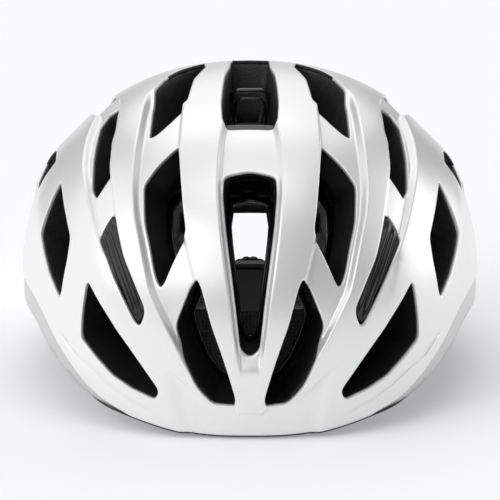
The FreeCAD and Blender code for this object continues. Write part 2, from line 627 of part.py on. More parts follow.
# ---------------------------------------------------------------- assembly
def shells():
    vents = vent_cutter()
    under_rim = below(RIM, RIM_STEP)
    anchors = []
    exits = {}
    for name, bearing in (("front", 58.0), ("rear", 112.0)):
        bar, at = strap_anchor(bearing)
        anchors += [bar, flip(bar)]
        exits[name] = at + Vector(0, 0, 3.0)
    trim = rim_trim()
    studs = slip_studs()
    insert = vent_insert()
    pieces = {
        "foam_liner": foam_liner(vents, anchors + [trim, studs]),
        "top_shell": top_shell(vents, under_rim),
        "lower_shell": lower_shell(vents, under_rim),
        "rim_trim": trim,
        "vent_insert_right": insert,
        "vent_insert_left": flip(insert),
        "strap_anchors": Part.makeCompound(anchors),
        "slip_studs": studs,
        "slip_liner": slip_liner(vents),
    }
    return pieces, exits


def fit_system():
    upper = rack()
    y = RACK_AXIS_Y + RACK_R
    left_arm, left_pin = arm(), temple_pin()
    pad = cradle_pad()
    return {
        "dial_housing": dial_housing(), "dial_cover": dial_cover(), "detent_ring": detent_ring(),
        "dial_knob": dial_knob(), "dial_screw": dial_screw(), "pinion": pinion(y - 1.6, y + 1.6),
        "rack_right": upper, "rack_left": lower_rack(upper), "cradle_yoke": cradle_yoke(),
        "cradle_pad_left": pad, "cradle_pad_right": flip(pad),
        "arm_left": left_arm, "arm_right": flip(left_arm),
        "temple_pin_left": left_pin, "temple_pin_right": flip(left_pin),
        "hanger": hanger(), "hanger_guides": hanger_guides(),
    }


def strap_system(exits):
    front, rear = side_straps(exits["front"], exits["rear"])
    body, lever = divider(), divider_lever()
    return {
        "front_strap_left": front, "front_strap_right": flip(front),
        "rear_strap_left": rear, "rear_strap_right": flip(rear),
        "divider_left": body, "divider_right": flip(body),
        "divider_lever_left": lever, "divider_lever_right": flip(lever),
        "chin_strap_left": chin_strap_left(), "chin_strap_right": chin_strap_right(),
        "buckle_female": buckle_female(), "buckle_male": buckle_male(),
        "prong_front": prong(-1), "prong_rear": prong(1),
        "chin_pad": chin_pad(), "strap_tail": strap_tail(), "strap_keeper": strap_keeper(),
    }


def main():
    os.makedirs("parts", exist_ok=True)
    pieces, exits = shells()
    pieces.update(pads(pad_layer()))
    pieces["hook_dots"] = hook_dots()
    pieces.update(fit_system())
    pieces.update(strap_system(exits))
    for node, shape in pieces.items():
        shape.exportStep("parts/" + node + ".step")
        size = shape.optimalBoundingBox(False)
        print(f"{node:20s} solids {len(shape.Solids)} valid {shape.isValid()} "
              f"volume {shape.Volume / 1000:8.2f} cm3 "
              f"x {size.XMin:.1f}..{size.XMax:.1f} y {size.YMin:.1f}..{size.YMax:.1f} "
              f"z {size.ZMin:.1f}..{size.ZMax:.1f}")


main()
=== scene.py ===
import math

import bpy
import numpy as np
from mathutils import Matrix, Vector, kdtree
from mathutils.geometry import delaunay_2d_cdt


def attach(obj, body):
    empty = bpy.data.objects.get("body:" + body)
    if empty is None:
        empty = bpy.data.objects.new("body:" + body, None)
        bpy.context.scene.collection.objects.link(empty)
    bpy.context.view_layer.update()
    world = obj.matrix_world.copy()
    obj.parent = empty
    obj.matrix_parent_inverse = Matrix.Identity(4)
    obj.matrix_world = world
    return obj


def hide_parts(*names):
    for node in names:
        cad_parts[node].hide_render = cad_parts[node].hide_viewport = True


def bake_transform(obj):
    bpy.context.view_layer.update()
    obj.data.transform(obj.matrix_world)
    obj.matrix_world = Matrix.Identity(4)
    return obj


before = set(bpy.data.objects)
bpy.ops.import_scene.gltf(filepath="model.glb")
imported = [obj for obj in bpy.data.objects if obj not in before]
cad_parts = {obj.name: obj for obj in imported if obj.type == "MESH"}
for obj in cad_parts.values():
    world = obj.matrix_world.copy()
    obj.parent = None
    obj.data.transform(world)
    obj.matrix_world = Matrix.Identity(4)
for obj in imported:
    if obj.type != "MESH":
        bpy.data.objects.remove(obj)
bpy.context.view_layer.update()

# Lengths are millimetres until a mesh is made. Chart positions are degrees across (u) and
# back (v) from the crown, seen from the middle of the head.
MM = 0.001
POWER = 2.25
CENTRE = np.array([0.0, -2.5, 42.0])
OUTER = {"side": 104.5, "front": 134.0, "rear": 139.0, "top": 98.0,
         "low_side": 68.0, "low_front": 98.0, "low_rear": 74.0}
HOLLOW = {"side": 79.0, "front": 102.0, "rear": 103.0, "top": 69.0,
          "low_side": 150.0, "low_front": 150.0, "low_rear": 150.0}
SHELL = 1.2
LOWER_INSET = 0.9
PAD_BASE = 4.1                # hollow to the back of the pads
RING_Y = 12                   # middle of the ring that the cradle's pads and racks lie on
CRADLE_PAD_RADIUS = 66.6
LINER_DEPTH = 2.6             # hollow to the liner's inner face
VENT_CORNER = 1.5             # rounding of the vents' corners, in degrees
INSERT_CORNER = 1.6
RIM_FOOT = 0.9                # rim to the lower edge of the foam's outer face
STRAP_WIDE, STRAP_THICK = 15, 1.6
TAIL_WIDE = 14
PAD_THICK, CRADLE_PAD_THICK, CHIN_PAD_THICK = 5.2, 4.5, 5.0
RIM = [(0, 0), (12, 0.8), (25, 6.0), (37, 11.5), (51, 25), (62, 34), (90, 37), (118, 25),
       (148, 4), (165, 1), (180, 3)]
SPLIT = [(0, -8), (15, -3), (25, 7), (34, 15), (44.6, 31), (54, 43), (68, 49), (90, 50),
         (120, 48), (150, 46), (180, 47)]
VENTS = {
    "crown": [(-6, -39), (6, -39), (7, -36), (7.4, -28), (7.2, -15.5), (6.8, -4), (5.6, 8),
              (5.2, 24), (-5.2, 24), (-5.6, 8), (-6.8, -4), (-7.2, -15.5), (-7.4, -28), (-7, -36)],
    "brow": [(-6.5, -54), (0, -52.8), (6.5, -54), (6.8, -58.5), (6.2, -66), (5.2, -73.5),
             (4.2, -80.5), (3, -90), (0, -91.5), (-3, -90), (-4.2, -80.5), (-5.2, -73.5),
             (-6.2, -66), (-6.8, -58.5)],
    "crown_rear": [(-4.5, 30), (4.5, 30), (6, 36), (5.5, 47), (3.5, 51), (-3.5, 51), (-5.5, 47),
                   (-6, 36)],
    "nape": [(-7, 86), (7, 86), (9.5, 94), (9, 101.5), (-9, 101.5), (-9.5, 94)],
}
SIDE_VENTS = {
    "top_front": [(-12.3, 20.5), (-12, 9.5), (-15, -6), (-16, -23.5), (-21, -31.5), (-24, -35),
                  (-26.2, -35.5), (-26.3, -27.5), (-26.5, -18.5), (-25.8, -6.5), (-23, 5),
                  (-19.5, 12.5)],
    "top_mid": [(-17.5, -42), (-20, -44), (-23.5, -47), (-27, -51), (-27, -60.5), (-26, -66.5),
                (-25.5, -72), (-24.5, -75), (-23, -74.5), (-19.5, -70.5), (-15.5, -66),
                (-16, -61), (-17, -47.5)],
    "brow_side": [(-13.5, -75), (-15.5, -76), (-18, -79), (-21.5, -83), (-20, -89.5),
                  (-17, -95.5), (-12.5, -100), (-5.5, -101), (-4.5, -99.5), (-7, -93),
                  (-10.5, -84.5), (-12.5, -77)],
    "mid_front": [(-35.5, -2), (-35, -26.5), (-36, -34.5), (-35.5, -42.5), (-41, -47),
                  (-42.5, -43), (-43, -30), (-42.8, -10), (-40.5, -2)],
    "side_front": [(-53, -28), (-51.5, -39.5), (-49.5, -51.5), (-52, -55.5), (-57.5, -60),
                   (-59.5, -60), (-62.5, -50.5), (-63.5, -43), (-63.5, -36.5), (-58, -33)],
    "side_low": [(-45.5, -64.5), (-43, -70.5), (-39, -78.5), (-33.5, -87.5), (-29.5, -94),
                 (-32, -95.5), (-39.5, -91), (-45.5, -86), (-50, -80), (-54, -73.5), (-52, -71)],
    "top_rear": [(-15, 31), (-19.5, 31), (-27, 40), (-29, 50), (-24, 57), (-18.5, 42)],
    "nape_side": [(-21, 73), (-26.5, 62), (-31, 58), (-35, 59), (-35, 67), (-29, 78), (-27.5, 81),
                  (-21, 81.5)],
    "mid_rear": [(-37, 6), (-43.5, 2), (-46, 20), (-46, 36), (-40, 44), (-38, 26)],
    "side_rear": [(-56, -12), (-64, -16), (-66, 2), (-62, 16), (-57, 6)],
    "low_rear": [(-54, 30), (-62, 27), (-62, 42), (-54, 56), (-47, 60), (-49, 46)],
}
INSERT = [(-35, -54.5), (-33.5, -60), (-32.5, -66), (-30.5, -72), (-28.5, -78), (-31, -80.5),
          (-32.5, -79.5), (-34.5, -74.5), (-37, -68), (-39, -61), (-40, -58), (-37, -55.5)]

# edges of the ribs, as (v, |u|) from the brow to the nape
RIB_EDGES = {
    "first_in": [(-99, 2.4), (-91.5, 4.0), (-85.5, 5.0), (-80.5, 5.5), (-73.5, 6.5), (-66, 7.4),
                 (-58.5, 8.0), (-52, 7.9), (-43, 7.4), (-36, 6.5), (-28, 6.8), (-15.5, 6.6),
                 (-4, 6.1), (8, 5.0), (24, 4.6), (50, 6), (70, 7), (82, 9.8), (95, 10.3),
                 (104, 9.5)],
    "first_out": [(-99.5, 5.2), (-94, 7.7), (-88.5, 10.1), (-81.5, 12.2), (-75, 14),
                  (-65.5, 16.1), (-56.5, 16.9), (-48.5, 17.4), (-42, 17), (-23.5, 17), (-6, 15.8),
                  (10, 13), (22, 13.2), (34, 15), (50, 17.5), (66, 18.5), (76, 16.5), (85, 15.5),
                  (98, 15)],
    "second_in": [(-98, 14.5), (-95, 17), (-91, 19.5), (-83, 23.4), (-75, 26.8), (-64.5, 28),
                  (-58.5, 28.9), (-52, 29.2), (-44.5, 28.9), (-32, 28.4), (-20, 28.2),
                  (-10, 27.6), (0, 25.8), (8.4, 21.8), (15, 18), (20, 13), (25, 13), (32, 20),
                  (40, 28), (50, 29.5), (70, 29.5), (85, 28), (95, 26)],
    "second_out": [(-94.5, 19.5), (-90.5, 23.5), (-83, 28.5), (-78, 28.5), (-72, 30.5),
                   (-66, 32.5), (-57.5, 33.5), (-49.5, 34.5), (-41.5, 35.5), (-32, 35.5),
                   (-13, 35), (0, 35.5), (20, 37), (40, 38.5), (60, 38), (75, 36), (88, 33)],
    "third_in": [(-61.5, 39.5), (-53, 41.5), (-42.5, 43.5), (-31.5, 45), (-18, 45), (-2, 43.5),
                 (10, 44), (25, 46.5), (40, 47), (55, 46), (66, 43)],
}
WALL = 1.1                    # width of a channel's wall, in degrees
CENTRE_DEPTH, SECOND_DEPTH, THIRD_DEPTH, BAND_DEPTH, GROOVE_DEPTH = 3.5, 3.8, 3.0, 1.5, 0.45
FAIRING_RISE, CREASE_DEPTH = 3.0, 1.0
EDGE_LIFT = 1.3               # the shells stop this far above the foam's edge
# hairline groove from the brow's corner up to the side, and the front end of the raised ribs,
# as (u, v)
GROOVE = [(34.5, -98), (42, -93), (49, -86.5), (54, -80.5), (59.5, -74.5), (64, -66)]
RIB_FRONT = [(0, -102), (4.5, -102), (6, -100), (14, -98.5), (19.5, -95), (24, -91), (36, -82)]


# ---------------------------------------------------------------- dome and chart
def smooth_height(knots, bearing):
    """Height at a bearing from the brow, through (bearing, height) knots, alike on both sides."""
    b = abs((bearing + 180.0) % 360.0 - 180.0)
    k = max(i for i in range(len(knots) - 1) if knots[i][0] <= b)
    before = knots[k - 1] if k else (-knots[1][0], knots[1][1])
    after = knots[k + 2] if k + 2 < len(knots) else (360 - knots[-2][0], knots[-2][1])
    (b0, h0), (b1, h1) = knots[k], knots[k + 1]
    span = b1 - b0
    slope0 = (h1 - before[1]) / (b1 - before[0]) * span
    slope1 = (after[1] - h0) / (after[0] - b0) * span
    t = (b - b0) / span
    return (h0 * (2 * t ** 3 - 3 * t ** 2 + 1) + slope0 * (t ** 3 - 2 * t ** 2 + t)
            + h1 * (3 * t ** 2 - 2 * t ** 3) + slope1 * (t ** 3 - t ** 2))


def direction(uv):
    uv = np.atleast_2d(np.asarray(uv, float))
    tilt = np.hypot(uv[:, 0], uv[:, 1])
    k = np.sin(np.radians(tilt)) / np.maximum(tilt, 1e-9)
    return np.stack([uv[:, 0] * k, uv[:, 1] * k, np.cos(np.radians(tilt))], 1)


def chart_of(points):
    d = np.atleast_2d(points) - CENTRE
    d = d / np.linalg.norm(d, axis=1)[:, None]
    tilt = np.degrees(np.arccos(np.clip(d[:, 2], -1, 1)))
    h = np.maximum(np.hypot(d[:, 0], d[:, 1]), 1e-9)
    return np.stack([d[:, 0] / h * tilt, d[:, 1] / h * tilt], 1)


def dome_radius(dome, inset, d):
    """Distance from the centre to a dome's surface along unit directions."""
    h = np.maximum(np.hypot(d[:, 0], d[:, 1]), 1e-9)
    across, along = np.abs(d[:, 0]) / h, np.abs(d[:, 1]) / h
    front = d[:, 1] < 0
    end = np.where(front, dome["front"], dome["rear"]) - inset
    low_end = np.where(front, dome["low_front"], dome["low_rear"])
    low = dome["low_side"] * across ** 2 + low_end * along ** 2 - inset
    tall = np.where(d[:, 2] >= 0, dome["top"] - inset, low)
    flat = (across / (dome["side"] - inset)) ** POWER + (along / end) ** POWER
    return ((np.abs(d[:, 2]) / tall) ** POWER + flat * h ** POWER) ** (-1 / POWER)


def on_dome(dome, uv, inset):
    """Points on a dome at chart positions, each sunk radially by its inset."""
    d = direction(uv)
    return CENTRE + d * (dome_radius(dome, 0, d) - inset)[:, None]


def plan_radius(dome, inset, bearing, z):
    across, along = abs(math.sin(math.radians(bearing))), abs(math.cos(math.radians(bearing)))
    end = "front" if math.cos(math.radians(bearing)) > 0 else "rear"
    low = dome["low_side"] * across ** 2 + dome["low_" + end] * along ** 2
    tall = (dome["top"] if z >= CENTRE[2] else low) - inset
    level = 1 - (abs(z - CENTRE[2]) / tall) ** POWER
    spread = (across / (dome["side"] - inset)) ** POWER + (along / (dome[end] - inset)) ** POWER
    return (max(level, 0) / spread) ** (1 / POWER)


def plan_point(dome, inset, bearing, z):
    r, b = plan_radius(dome, inset, bearing, z), math.radians(bearing)
    return np.array([r * math.sin(b), CENTRE[1] - r * math.cos(b), z])


def height_line(height, bearings, dome=OUTER, inset=0.0):
    """Chart positions along a height line of a dome."""
    return [tuple(chart_of(plan_point(dome, inset, b, height(b)))[0]) for b in bearings]


def mirrored(outline):
    return [(-u, v) for u, v in reversed(outline)]


def rounded(outline, radius, step):
    """Closed outline with its corners rounded, as evenly spaced points."""
    points = [np.array(p, float) for p in outline]
    dense = []
    for i, p in enumerate(points):
        before, after = points[i - 1] - p, points[(i + 1) % len(points)] - p
        a = p + before * min(0.5, radius / np.linalg.norm(before))
        b = p + after * min(0.5, radius / np.linalg.norm(after))
        for t in (0, 0.17, 0.33, 0.5, 0.67, 0.83, 1):
            dense.append(a * (1 - t) ** 2 + p * 2 * t * (1 - t) + b * t ** 2)
    dense = np.array(dense + dense[:1])
    far = np.concatenate([[0], np.cumsum(np.linalg.norm(np.diff(dense, axis=0), axis=1))])
    at = np.linspace(0, far[-1], max(12, int(far[-1] / step)), endpoint=False)
    return np.stack([np.interp(at, far, dense[:, k]) for k in (0, 1)], 1)


def inside(points, polygon):
    x, y = points[:, 0], points[:, 1]
    found = np.zeros(len(points), bool)
    low, high = polygon.min(0), polygon.max(0)
    near = np.nonzero((x > low[0]) & (x < high[0]) & (y > low[1]) & (y < high[1]))[0]
    if not len(near):
        return found
    x, y = x[near], y[near]
    hit = np.zeros(len(near), bool)
    for (x0, y0), (x1, y1) in zip(polygon, np.roll(polygon, -1, axis=0)):
        if y0 == y1:
            continue
        crosses = (y0 > y) != (y1 > y)
        hit ^= crosses & (x < (x1 - x0) * (y - y0) / (y1 - y0) + x0)
    found[near] = hit
    return found


# ---------------------------------------------------------------- relief of the shell
TABLE_V = np.arange(-110, 112, 0.5)


def softened(knots):
    v, u = zip(*knots)
    raw = np.interp(TABLE_V, v, u)
    kernel = np.exp(-np.linspace(-2, 2, 13) ** 2)
    padded_raw = np.pad(raw, 6, mode="edge")
    return np.convolve(padded_raw, kernel / kernel.sum(), mode="valid")


EDGE_TABLE = {name: softened(knots) for name, knots in RIB_EDGES.items()}


def edge(name, v):
    return np.interp(v, TABLE_V, EDGE_TABLE[name])


def ramp(x):
    x = np.clip(x, 0, 1)
    return x * x * (3 - 2 * x)


def relief(uv, grow=0.0):
    """Depth of the channels below the ribs' tops; grow widens them, for what lies under them."""
    u, v = np.abs(uv[:, 0]), uv[:, 1]
    centre = CENTRE_DEPTH * ramp((edge("first_in", v) + grow - u) / WALL)
    centre *= ramp((v + 94.4 + grow) / 4.2) * ramp((104 - v) / 10)
    centre *= 1 - ramp((v + 6) / 12) * ramp((38 - v) / 8)
    second = ramp((u + grow - edge("first_out", v)) / WALL)
    second *= ramp((edge("second_in", v) + grow - u) / WALL)
    second *= SECOND_DEPTH * ramp((v + 101 + grow) / 7) * ramp((101 - v) / 12)
    second *= 1 - ramp((v + 18) / 14) * ramp((44 - v) / 14)
    third = ramp((u + grow - edge("second_out", v)) / WALL)
    third *= ramp((edge("third_in", v) + grow - u) / WALL)
    third *= THIRD_DEPTH * ramp((v + 76) / 30) * ramp((8 - v) / 12)
    band_start = np.interp(u, *zip(*RIB_FRONT))
    band = BAND_DEPTH * ramp(band_start - v) * ramp((27 - u) / 5)
    groove_v = np.interp(u, *zip(*GROOVE))
    groove = GROOVE_DEPTH * np.exp(-((v - groove_v) / 0.28) ** 2)
    groove *= (u > GROOVE[0][0]) & (u < GROOVE[-1][0])
    fairing = FAIRING_RISE * ramp((u - 48) / 15) * ramp((v + 50) / 32) * ramp((74 - v) / 34)
    crease = CREASE_DEPTH * ramp((u - 66.0 - 0.02 * v) / 1.2)
    crease *= ramp((v + 46) / 30) * ramp((60 - v) / 30)
    return np.maximum.reduce([centre, second, third, band]) - fairing + crease + groove


def near_any(points, others, gap):
    tree = kdtree.KDTree(len(others))
    for i, p in enumerate(others):
        tree.insert((p[0], p[1], 0), i)
    tree.balance()
    return np.array([tree.find((p[0], p[1], 0))[2] < gap for p in points])


def rib_lines(loops):
    """Chart lines along the rounded edges of the ribs, kept clear of the outlines."""
    everything = np.concatenate(loops)
    runs = []

    def add(line, keep):
        run = []
        for ok, point in zip(keep, line):
            if ok:
                run.append(point)
            elif len(run) > 1:
                runs.append(np.array(run))
            if not ok:
                run = []
        if len(run) > 1:
            runs.append(np.array(run))

    for knots, offsets in ((GROOVE, (-0.45, -0.22, 0.0, 0.22, 0.45)),
                           (RIB_FRONT, (0.2, -0.1, -0.4, -0.7, -1.0, -1.3))):
        u = np.arange(knots[0][0] + 0.5, knots[-1][0], 0.8)
        for side in (-1, 1):
            for offset in offsets:
                line = np.stack([side * u, np.interp(u, *zip(*knots)) + offset], 1)
                add(line, ~near_any(line, everything, 0.3))
    for name, knots in RIB_EDGES.items():
        inward = -1 if name.endswith("_in") else 1
        v = np.arange(knots[0][0], knots[-1][0], 1.1)
        for side in (-1, 1):
            for offset in (-0.3, 0.05, 0.3, 0.55, 0.8, 1.05, 1.4):
                u = edge(name, v) + inward * offset
                line = np.stack([side * u, v], 1)
                add(line, ~near_any(line, everything, 0.34) & (u > 0.3))
    return runs


# ---------------------------------------------------------------- triangulated skins
def triangulate(border, holes, lines, step):
    """Triangles of the chart inside a border and outside the holes, with points along the lines."""
    points, edges = [], []
    for loop in [border] + holes:
        start = len(points)
        points += [tuple(p) for p in loop]
        edges += [(start + i, start + (i + 1) % len(loop)) for i in range(len(loop))]
    for line in lines:
        start = len(points)
        points += [tuple(p) for p in line]
        edges += [(start + i, start + i + 1) for i in range(len(line) - 1)]
    low, high = border.min(0), border.max(0)
    grid = []
    for row, v in enumerate(np.arange(low[1], high[1], step * 0.866)):
        for u in np.arange(low[0] + (row % 2) * step / 2, high[0], step):
            grid.append((u, v))
    grid = np.array(grid)
    keep = inside(grid, border)
    for hole in holes:
        keep &= ~inside(grid, hole)
    grid = grid[keep]
    grid = grid[~near_any(grid, np.array(points), step * 0.55)]
    points += [tuple(p) for p in grid]
    found = delaunay_2d_cdt([Vector(p) for p in points], edges, [], 0, 1e-5)
    uv = np.array([(p.x, p.y) for p in found[0]])
    triangles = np.array([f for f in found[2] if len(f) == 3])
    middle = uv[triangles].mean(1)
    keep = inside(middle, border)
    for hole in holes:
        keep &= ~inside(middle, hole)
    triangles = triangles[keep]
    a, b, c = (uv[triangles[:, k]] for k in range(3))
    area = (b[:, 0] - a[:, 0]) * (c[:, 1] - a[:, 1]) - (b[:, 1] - a[:, 1]) * (c[:, 0] - a[:, 0])
    triangles[area < 0] = triangles[area < 0][:, ::-1]
    triangles = triangles[np.abs(area) > 1e-7]
    used = np.unique(triangles)
    new = np.full(len(uv), -1)
    new[used] = np.arange(len(used))
    return uv[used], new[triangles]


def boundary(uv, triangles):
    """Boundary edges, solid on their left, and the unit way out of the solid at each point."""
    seen = {}
    for t in triangles:
        for a, b in ((t[0], t[1]), (t[1], t[2]), (t[2], t[0])):
            seen[(int(a), int(b))] = True
    edges = [(a, b) for a, b in seen if (b, a) not in seen]
    outward = {}
    for a, b in edges:
        way = uv[b] - uv[a]
        way = way / max(np.linalg.norm(way), 1e-9)
        normal = np.array([way[1], -way[0]])
        for i in (a, b):
            outward[i] = outward.get(i, 0) + normal
    for i, n in outward.items():
        outward[i] = n / max(np.linalg.norm(n), 0.3)
    return edges, outward


def new_mesh(name, points, faces, material, attribute=None, second=None, second_faces=()):
    mesh = bpy.data.meshes.new(name)
    mesh.from_pydata([tuple(p * MM) for p in points], [], [tuple(int(i) for i in f) for f in faces])
    mesh.validate()
    mesh.polygons.foreach_set("use_smooth", [True] * len(mesh.polygons))
    if attribute is not None:
        layer = mesh.attributes.new("lay", "FLOAT_VECTOR", "POINT")
        layer.data.foreach_set("vector", np.asarray(attribute, float).ravel())
    mesh.materials.append(material)
    if second is not None:
        mesh.materials.append(second)
        for face in second_faces:
            mesh.polygons[face].material_index = 1
    piece = bpy.data.objects.new(name, mesh)
    bpy.context.scene.collection.objects.link(piece)
    return piece


def skin(name, uv, triangles, depth, lip, thickness, material):
    """Moulded shell: an outer face at a depth under the dome, edges rolled inwards, and a back.

    The lips that face forward near the crown are bare foam.
    """
    edges, outward = boundary(uv, triangles)
    points = [on_dome(OUTER, uv, depth)]
    faces = [tuple(t) for t in triangles]
    count = len(uv)
    rim_ids = sorted(outward)
    rim_uv = np.array([uv[i] for i in rim_ids])
    rim_out = np.array([outward[i] for i in rim_ids])
    rim_depth = depth[rim_ids]
    last = {i: i for i in rim_ids}
    bare = []
    for across, down in lip:
        points.append(on_dome(OUTER, rim_uv + rim_out * across, rim_depth + down))
        ring = {i: count + k for k, i in enumerate(rim_ids)}
        count += len(rim_ids)
        for a, b in edges:
            if outward[a][1] < -0.4 and 6 < uv[a][1] < 40 and down > 0.2:
                bare.append(len(faces))
            faces.append((last[b], last[a], ring[a], ring[b]))
        last = ring
    base = count
    points.append(on_dome(OUTER, uv, depth + thickness))
    faces += [(base + t[2], base + t[1], base + t[0]) for t in triangles]
    count += len(uv)
    points.append(on_dome(OUTER, rim_uv - rim_out * 0.35, rim_depth + lip[-1][1]))
    ring = {i: count + k for k, i in enumerate(rim_ids)}
    faces += [(last[b], last[a], ring[a], ring[b]) for a, b in edges]
    faces += [(ring[b], ring[a], base + a, base + b) for a, b in edges]
    return new_mesh(name, np.concatenate(points), faces, material, second=FOAM, second_faces=bare)


# ---------------------------------------------------------------- materials
def shader(name, colour, roughness, **settings):
    """A Principled material and its parts: tree, shader node and object coordinates."""
    material = bpy.data.materials.new(name)
    material.use_nodes = True
    tree = material.node_tree
    principled = tree.nodes["Principled BSDF"]
    principled.inputs["Base Color"].default_value = (*colour, 1)
    principled.inputs["Roughness"].default_value = roughness
    for socket, value in settings.items():
        principled.inputs[socket.replace("_", " ")].default_value = value
    place = tree.nodes.new("ShaderNodeTexCoord").outputs["Object"]
    return material, tree, principled, place


def texture(tree, kind, place, scale, **inputs):
    found = tree.nodes.new(kind)
    tree.links.new(place, found.inputs["Vector"])
    found.inputs["Scale"].default_value = scale
    for socket, value in inputs.items():
        found.inputs[socket].default_value = value
    return found


def tinted(tree, principled, factor, low, high, start=0.3, end=0.7):
    """Base colour that runs from low to high along a texture's value."""
    blend = tree.nodes.new("ShaderNodeValToRGB")
    blend.color_ramp.elements[0].position = start
    blend.color_ramp.elements[1].position = end
    blend.color_ramp.elements[0].color = (*low, 1)
    blend.color_ramp.elements[1].color = (*high, 1)
    tree.links.new(factor, blend.inputs["Fac"])
    tree.links.new(blend.outputs["Color"], principled.inputs["Base Color"])


def bumped(tree, principled, height, strength, deep, under=None):
    bump = tree.nodes.new("ShaderNodeBump")
    bump.inputs["Strength"].default_value = strength
    bump.inputs["Distance"].default_value = deep
    tree.links.new(height, bump.inputs["Height"])
    if under is not None:
        tree.links.new(under.outputs["Normal"], bump.inputs["Normal"])
    tree.links.new(bump.outputs["Normal"], principled.inputs["Normal"])
    return bump


def pearl(name, low, high, metallic, roughness, grain):
    """Satin pearl paint with a fine flake."""
    material, tree, principled, place = shader(name, high, roughness, Metallic=metallic,
                                               Coat_Weight=0.25, Coat_Roughness=0.18)
    flake = texture(tree, "ShaderNodeTexNoise", place, 2600, Detail=2)
    tinted(tree, principled, flake.outputs["Fac"], low, high)
    soft = texture(tree, "ShaderNodeTexNoise", place, 900, Detail=3)
    bumped(tree, principled, soft.outputs["Fac"], grain, 0.00015)
    return material


def bead_foam(name):
    material, tree, principled, place = shader(name, (0.016, 0.016, 0.017), 0.55)
    bead = texture(tree, "ShaderNodeTexVoronoi", place, 1300)
    tinted(tree, principled, bead.outputs["Distance"], (0.003, 0.003, 0.0033),
           (0.024, 0.024, 0.025), 0.15, 0.85)
    pit = texture(tree, "ShaderNodeTexNoise", place, 1800, Detail=3)
    fine = bumped(tree, principled, pit.outputs["Fac"], 0.3, 0.0002)
    bumped(tree, principled, bead.outputs["Distance"], 0.5, 0.0004, fine)
    return material


def plastic(name, colour, roughness, grain=0.12, **settings):
    material, tree, principled, place = shader(name, colour, roughness, **settings)
    fine = texture(tree, "ShaderNodeTexNoise", place, 1600, Detail=3)
    cloud = texture(tree, "ShaderNodeTexNoise", place, 60, Detail=2)
    tinted(tree, principled, cloud.outputs["Fac"], tuple(c * 0.85 for c in colour),
           tuple(c * 1.15 for c in colour))
    bumped(tree, principled, fine.outputs["Fac"], grain, 0.0001)
    return material


def knit(name):
    """Brushed pad fabric with a fine loop pattern."""
    material, tree, principled, place = shader(name, (0.02, 0.02, 0.021), 0.88, Sheen_Weight=0.35,
                                               Sheen_Roughness=0.5)
    loops = texture(tree, "ShaderNodeTexVoronoi", place, 620, Randomness=0.25)
    tinted(tree, principled, loops.outputs["Distance"], (0.005, 0.005, 0.005),
           (0.055, 0.055, 0.058), 0.25, 0.5)
    fuzz = texture(tree, "ShaderNodeTexNoise", place, 4000, Detail=2)
    under = bumped(tree, principled, fuzz.outputs["Fac"], 0.25, 0.0001)
    bumped(tree, principled, loops.outputs["Distance"], 0.5, 0.0004, under)
    return material


def woven(name):
    """Flat webbing in a twill weave, along the piece's own length and width."""
    material, tree, principled, _ = shader(name, (0.03, 0.03, 0.032), 0.75, Sheen_Weight=0.25)
    lay = tree.nodes.new("ShaderNodeAttribute")
    lay.attribute_name = "lay"
    waves = []
    for turn, scale in ((0.9, 0.16), (-0.9, 0.16), (0.0, 0.5)):
        turned = tree.nodes.new("ShaderNodeMapping")
        turned.inputs["Rotation"].default_value = (0, 0, turn)
        tree.links.new(lay.outputs["Vector"], turned.inputs["Vector"])
        waves.append(texture(tree, "ShaderNodeTexWave", turned.outputs["Vector"], scale))
    crossing = tree.nodes.new("ShaderNodeMath")
    crossing.operation = "MAXIMUM"
    tree.links.new(waves[0].outputs["Fac"], crossing.inputs[0])
    tree.links.new(waves[1].outputs["Fac"], crossing.inputs[1])
    tinted(tree, principled, crossing.outputs[0], (0.014, 0.014, 0.015),
           (0.05, 0.05, 0.053), 0.3, 0.9)
    under = bumped(tree, principled, waves[2].outputs["Fac"], 0.3, 0.0002)
    bumped(tree, principled, crossing.outputs[0], 0.7, 0.0004, under)
    return material


WHITE_SHELL = pearl("white_pearl", (0.89, 0.90, 0.89), (0.95, 0.96, 0.95), 0.42, 0.35, 0.10)
SILVER_SHELL = pearl("silver_pearl", (0.56, 0.57, 0.56), (0.68, 0.69, 0.68), 0.6, 0.34, 0.12)
FOAM = bead_foam("bead_foam")
FLUTED = plastic("insert_satin", (0.009, 0.009, 0.0095), 0.24, 0.08)
SLIP = plastic("slip_gloss", (0.010, 0.010, 0.011), 0.13, 0.03, Coat_Weight=0.5,
               Coat_Roughness=0.05)
# Slate grey, lighter than the bead foam: painted light, the lit front edge of the foam in the crown
# vent
PAINTED_LIT_LEDGE = plastic("ledge_painted_light_slate", (0.034, 0.039, 0.042), 0.4, 0.1)
BEAD = plastic("bead_gloss", (0.03, 0.03, 0.032), 0.16, 0.02, Coat_Weight=0.8, Coat_Roughness=0.06)
TRIM = plastic("trim_satin", (0.018, 0.018, 0.019), 0.42)
FIT = plastic("fit_satin", (0.022, 0.022, 0.024), 0.45)
BUCKLE = plastic("buckle_satin", (0.02, 0.02, 0.021), 0.38, 0.2)
RUBBER = plastic("dial_rubber", (0.035, 0.035, 0.037), 0.72, 0.4)
STUD = plastic("stud_rubber", (0.04, 0.04, 0.042), 0.6, 0.3)
HOOK = knit("hook_patch")
STEEL = plastic("screw_steel", (0.55, 0.55, 0.56), 0.3, 0.1, Metallic=1.0)
KNIT = knit("pad_knit")
WEBBING = woven("webbing_twill")

# ---------------------------------------------------------------- shells and foam
outlines = list(VENTS.values()) + list(SIDE_VENTS.values())
outlines += [mirrored(o) for o in SIDE_VENTS.values()]
vent_loops = [rounded(o, VENT_CORNER, 0.45) for o in outlines]
insert_loops = [rounded(o, INSERT_CORNER, 0.45) for o in (INSERT, mirrored(INSERT))]
bearings = np.arange(0, 360, 0.45)
STRIP = 0.4                   # width of the narrow triangles round an opening, in degrees


def top_line(b):
    return max(smooth_height(SPLIT, b) + 0.2, smooth_height(RIM, b) + EDGE_LIFT)


